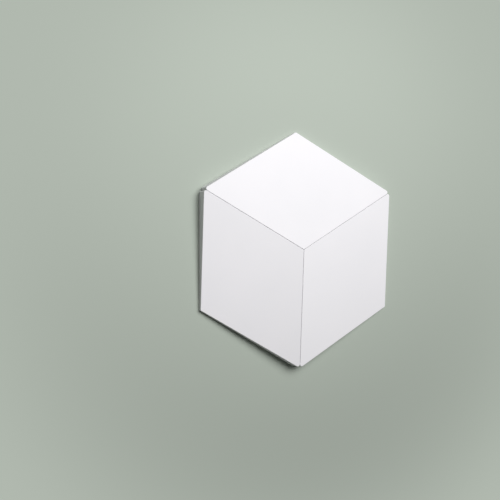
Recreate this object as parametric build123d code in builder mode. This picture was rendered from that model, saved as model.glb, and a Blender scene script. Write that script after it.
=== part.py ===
from build123d import *
import os
from math import cos, radians

# A three-dimensional wall panel: three rhombic wedge tiles laid as one hexagon.
# Every tile is the same moulding, a rhombus in plan with a flat back, upright edges and one flat
# front that slopes from a thick corner at the panel's centre to a thin corner on its rim. Turned
# about the centre, the tiles close the full circle, and their front edges meet at the seams.
# The origin is the panel's centre on the back plane. +Z points out of the wall, and +Y is up on it.

# Driving dimensions, in millimetres
tile_side = 172.0  # side of the rhombus, measured to the middle of the seams
thick_corner = 34.0  # height of the corner at the panel's centre
thin_corner = 6.5  # height of the opposite corner, on the rim
tip_radius = 3.0  # the two pointed corners, rounded in plan
blunt_radius = 1.0  # the two blunt corners, almost sharp in plan
arris_radius = 0.6  # softened front edge, all round the face
seam_gap = 0.4  # hairline between two neighbouring tiles

# Node name of each tile, in order around the centre, and the way that the first one slopes
tile_names = ("upper_tile", "left_tile", "right_tile")
first_slope = 90.0  # degrees from +X, straight up the wall

# Angle that each tile fills at the centre, and its diagonal from the centre to the rim
centre_angle = 360 / len(tile_names)
slope_run = 2 * tile_side * cos(radians(centre_angle / 2))

os.makedirs("parts", exist_ok=True)

for place, tile_name in enumerate(tile_names):
    # The tile's own back plane, whose +X runs down the slope from the panel's centre
    back = Plane.XY.rotated((0, 0, first_slope + place * centre_angle))

    # The plane of the front, through the thick corner and the thin one
    thick_point = back.from_local_coords(Vector(0, 0, thick_corner))
    thin_point = back.from_local_coords(Vector(slope_run, 0, thin_corner))
    slope = thin_point - thick_point
    front = Plane(origin=thick_point, x_dir=slope, z_dir=slope.cross(back.y_dir))

    with BuildPart() as tile:
        # Half of the rhombus, mirrored about the slope line, drawn in by its share of the seams
        with BuildSketch(back) as outline:
            with BuildLine():
                diagonal = PolarLine((0, 0), slope_run, 0)
                inner_side = PolarLine((0, 0), tile_side, centre_angle / 2)
                Line(inner_side @ 1, diagonal @ 1)
            make_face()
            mirror(about=Plane.XZ)
            offset(amount=-seam_gap / 2)

            # Across the slope line, the blunt corners lie in the middle and the tips at both ends
            blunt_corners = outline.vertices().group_by(Axis.Y)[1]
            fillet(blunt_corners, radius=blunt_radius)
            corner_rows = outline.vertices().group_by(Axis.Y)
            fillet(corner_rows[0] + corner_rows[-1], radius=tip_radius)
        extrude(amount=thick_corner)

        # The sloping front, with its edge softened all the way round
        split(bisect_by=front, keep=Keep.BOTTOM)
        fillet(tile.faces().filter_by(front).edges(), radius=arris_radius)

    tile.part.label = tile_name
    export_step(tile.part, f"parts/{tile_name}.step")
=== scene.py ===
"""Looks of the three-dimensional wall panel: three primed tiles, lying face up on a pale floor."""

import math

import bpy
from mathutils import Matrix, Vector

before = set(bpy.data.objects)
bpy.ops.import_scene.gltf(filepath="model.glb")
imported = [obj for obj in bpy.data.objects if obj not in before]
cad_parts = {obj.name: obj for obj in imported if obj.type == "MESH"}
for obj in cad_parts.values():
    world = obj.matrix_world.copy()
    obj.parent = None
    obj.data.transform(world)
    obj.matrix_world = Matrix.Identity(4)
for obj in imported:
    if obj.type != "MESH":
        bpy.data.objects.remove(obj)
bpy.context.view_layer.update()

MM = 0.001  # one millimetre, in the scene's metres

# Paint and floor colours, as they look in plain light
PRIMER_WHITE = "#F1EFF2"
PRIMER_SHADE = "#EDECEF"
FLOOR_SAGE = "#B1B9AF"

# Primer on the mouldings, in millimetres
TONE_PATCH = 70.0  # drift of the white from one sprayed pass to the next
PEEL_WIDTH = 2.6  # orange peel left by the spray gun
PEEL_DEPTH = 0.012
GRIT_WIDTH = 0.7  # tooth of the dried primer, drawn about three times its real width so that it shows
GRIT_DEPTH = 0.006

# How matte the primer and the floor paint are
PRIMER_SMOOTHEST = 0.72  # roughness
PRIMER_ROUGHEST = 0.82
PRIMER_CHALKINESS = 0.15  # roughness of the white itself, under the gloss
PRIMER_IOR = 1.5
FLOOR_ROUGHNESS = 0.9
FLOOR_GLOSS = 0.1

# Range that most of a noise pattern stays in
NOISE_LOW = 0.3
NOISE_HIGH = 0.7

# Camera of the photograph, once the panel lies flat: up in the picture is +Y
CAMERA_LENS = 85.0  # on a 36 mm square sensor
CAMERA_TILT = 23.14  # degrees from straight above, towards -X
CAMERA_DISTANCE = 1704.2 * MM
CAMERA_AIM = Vector((-70.2, -0.4, 0.0)) * MM
SENSOR_WIDTH = 36.0

# Gridded soft box at the upper right, aimed past the panel's top so that its light fades downwards
BOX_PLACE = Vector((290.0, 750.0, 1580.0)) * MM
BOX_AIM = Vector((-120.0, 355.0, 0.0)) * MM
BOX_SIDE = 1300.0 * MM
BOX_SPREAD = 80.0  # degrees
BOX_POWER = 10.1  # watts

# Pale room around it
ROOM_WHITE = "#F4F5F4"
ROOM_STRENGTH = 0.065

# Floor, and the distances over which it turns from lit paint into an even backdrop, in metres
FLOOR_SIZE = 16.0
LIT_FLOOR_REACH = 0.22
BACKDROP_START = 0.55


def linear(hex_colour):
    """An sRGB colour such as #C3CBC2, as linear red, green, blue and alpha."""
    channels = [int(hex_colour[i:i + 2], 16) / 255 for i in (1, 3, 5)]
    return [c / 12.92 if c <= 0.04045 else ((c + 0.055) / 1.055) ** 2.4 for c in channels] + [1.0]


def add_node(tree, kind, settings=None, inputs=None):
    """Adds a node, with its settings, and its inputs as plain values or as links."""
    node = tree.nodes.new(kind)
    for name, value in (settings or {}).items():
        setattr(node, name, value)
    for name, value in (inputs or {}).items():
        if isinstance(value, bpy.types.NodeSocket):
            tree.links.new(value, node.inputs[name])
        else:
            node.inputs[name].default_value = value
    return node


def backdrop_rays(tree):
    """One for what the camera sees, straight or mirrored, and zero for the light on the panel."""
    rays = add_node(tree, "ShaderNodeLightPath").outputs
    mirrored = add_node(tree, "ShaderNodeMath", {"operation": "MAXIMUM"}, {
        0: rays["Is Glossy Ray"], 1: rays["Is Transmission Ray"]})
    seen = add_node(tree, "ShaderNodeMath", {"operation": "MAXIMUM"}, {
        0: rays["Is Camera Ray"], 1: mirrored.outputs["Value"]})
    return seen.outputs["Value"]


def primed_polyurethane():
    """Rigid polyurethane, moulded smooth and sprayed with white primer: matte, with a faint orange peel."""
    material = bpy.data.materials.new("primed_polyurethane")
    material.use_nodes = True
    tree = material.node_tree
    shader = tree.nodes["Principled BSDF"]
    place = add_node(tree, "ShaderNodeTexCoord").outputs["Object"]

    # The white drifts a little between passes of the spray gun
    drift = add_node(tree, "ShaderNodeTexNoise", inputs={
        "Vector": place, "Scale": 1 / (TONE_PATCH * MM), "Detail": 3.0, "Roughness": 0.5})
    tone = add_node(tree, "ShaderNodeMix", {"data_type": "RGBA"}, {
        "Factor": drift.outputs["Fac"], "A": linear(PRIMER_WHITE), "B": linear(PRIMER_SHADE)})
    tree.links.new(tone.outputs["Result"], shader.inputs["Base Color"])

    # Where the primer lies thicker it dries a little smoother
    sheen = add_node(tree, "ShaderNodeMapRange", inputs={
        "Value": drift.outputs["Fac"], "From Min": NOISE_LOW, "From Max": NOISE_HIGH,
        "To Min": PRIMER_SMOOTHEST, "To Max": PRIMER_ROUGHEST})
    tree.links.new(sheen.outputs["Result"], shader.inputs["Roughness"])

    # Orange peel, with the tooth of the dried primer on top of it
    peel = add_node(tree, "ShaderNodeTexNoise", inputs={
        "Vector": place, "Scale": 1 / (PEEL_WIDTH * MM), "Detail": 1.0})
    wavy = add_node(tree, "ShaderNodeBump", inputs={
        "Height": peel.outputs["Fac"], "Distance": PEEL_DEPTH * MM, "Strength": 1.0})
    grit = add_node(tree, "ShaderNodeTexNoise", inputs={
        "Vector": place, "Scale": 1 / (GRIT_WIDTH * MM), "Detail": 2.0})
    toothed = add_node(tree, "ShaderNodeBump", inputs={
        "Height": grit.outputs["Fac"], "Distance": GRIT_DEPTH * MM, "Strength": 1.0,
        "Normal": wavy.outputs["Normal"]})
    tree.links.new(toothed.outputs["Normal"], shader.inputs["Normal"])

    shader.inputs["Diffuse Roughness"].default_value = PRIMER_CHALKINESS
    shader.inputs["IOR"].default_value = PRIMER_IOR
    return material


def matte_floor_paint():
    """Smooth floor under flat sage paint: even and dull, with next to no gloss."""
    material = bpy.data.materials.new("matte_floor_paint")
    material.use_nodes = True
    tree = material.node_tree
    paint = tree.nodes["Principled BSDF"]
    paint.inputs["Base Color"].default_value = linear(FLOOR_SAGE)
    paint.inputs["Roughness"].default_value = FLOOR_ROUGHNESS
    paint.inputs["Specular IOR Level"].default_value = FLOOR_GLOSS

    # Far from the panel, what the camera sees is an even backdrop of the same colour
    place = add_node(tree, "ShaderNodeTexCoord").outputs["Object"]
    reach = add_node(tree, "ShaderNodeVectorMath", {"operation": "LENGTH"}, {"Vector": place})
    far = add_node(tree, "ShaderNodeMapRange", {"interpolation_type": "SMOOTHSTEP"}, {
        "Value": reach.outputs["Value"], "From Min": LIT_FLOOR_REACH, "From Max": BACKDROP_START})
    share = add_node(tree, "ShaderNodeMath", {"operation": "MULTIPLY"}, {
        0: far.outputs["Result"], 1: backdrop_rays(tree)})
    backdrop = add_node(tree, "ShaderNodeEmission", inputs={"Color": linear(FLOOR_SAGE)})
    surface = add_node(tree, "ShaderNodeMixShader", inputs={
        "Fac": share.outputs["Value"], 1: paint.outputs["BSDF"], 2: backdrop.outputs["Emission"]})
    tree.links.new(surface.outputs["Shader"], tree.nodes["Material Output"].inputs["Surface"])
    return material


def dress_tiles():
    """The tiles keep their moulded shape, and get their paint."""
    paint = primed_polyurethane()
    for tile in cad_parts.values():
        tile.data.materials.clear()
        tile.data.materials.append(paint)


def lay_floor():
    """A plain floor under the panel, out past the edge of every view."""
    half = FLOOR_SIZE / 2
    mesh = bpy.data.meshes.new("floor")
    corners = [(-half, -half, 0), (half, -half, 0), (half, half, 0), (-half, half, 0)]
    mesh.from_pydata(corners, [], [(0, 1, 2, 3)])
    mesh.materials.append(matte_floor_paint())
    floor = bpy.data.objects.new("floor", mesh)
    bpy.context.scene.collection.objects.link(floor)


def look_from(place, target, up):
    """Where a lamp or camera stands, with its -Z towards the target and its +Y towards up."""
    back = (place - target).normalized()
    right = up.cross(back).normalized()
    turn = Matrix((right, back.cross(right), back)).transposed()
    return Matrix.Translation(place) @ turn.to_4x4()


def light_room():
    """One large soft box with a grid, and a pale room that fills the shade."""
    lamp = bpy.data.lights.new("soft_box", "AREA")
    lamp.shape = "SQUARE"
    lamp.size = BOX_SIDE
    lamp.spread = math.radians(BOX_SPREAD)
    lamp.energy = BOX_POWER
    soft_box = bpy.data.objects.new("soft_box", lamp)
    soft_box.matrix_world = look_from(BOX_PLACE, BOX_AIM, Vector((0, 0, 1)))
    soft_box.visible_camera = False
    bpy.context.scene.collection.objects.link(soft_box)

    room = bpy.data.worlds.new("pale_room")
    room.use_nodes = True
    tree = room.node_tree
    walls = tree.nodes["Background"]
    walls.inputs["Color"].default_value = linear(ROOM_WHITE)
    walls.inputs["Strength"].default_value = ROOM_STRENGTH
    backdrop = add_node(tree, "ShaderNodeBackground", inputs={"Color": linear(FLOOR_SAGE)})
    sight = add_node(tree, "ShaderNodeMixShader", inputs={
        "Fac": backdrop_rays(tree), 1: walls.outputs["Background"], 2: backdrop.outputs["Background"]})
    tree.links.new(sight.outputs["Shader"], tree.nodes["World Output"].inputs["Surface"])
    bpy.context.scene.world = room


def set_camera():
    """The photograph's view, looking down on the panel from the left."""
    tilt = math.radians(CAMERA_TILT)
    place = CAMERA_AIM + CAMERA_DISTANCE * Vector((-math.sin(tilt), 0, math.cos(tilt)))
    lens = bpy.data.cameras.new("camera")
    lens.lens = CAMERA_LENS
    lens.sensor_width = SENSOR_WIDTH
    camera = bpy.data.objects.new("camera", lens)
    camera.matrix_world = look_from(place, CAMERA_AIM, Vector((0, 1, 0)))
    bpy.context.scene.collection.objects.link(camera)
    bpy.context.scene.camera = camera


dress_tiles()
lay_floor()
light_room()
set_camera()
bpy.context.scene.view_settings.view_transform = "Standard"
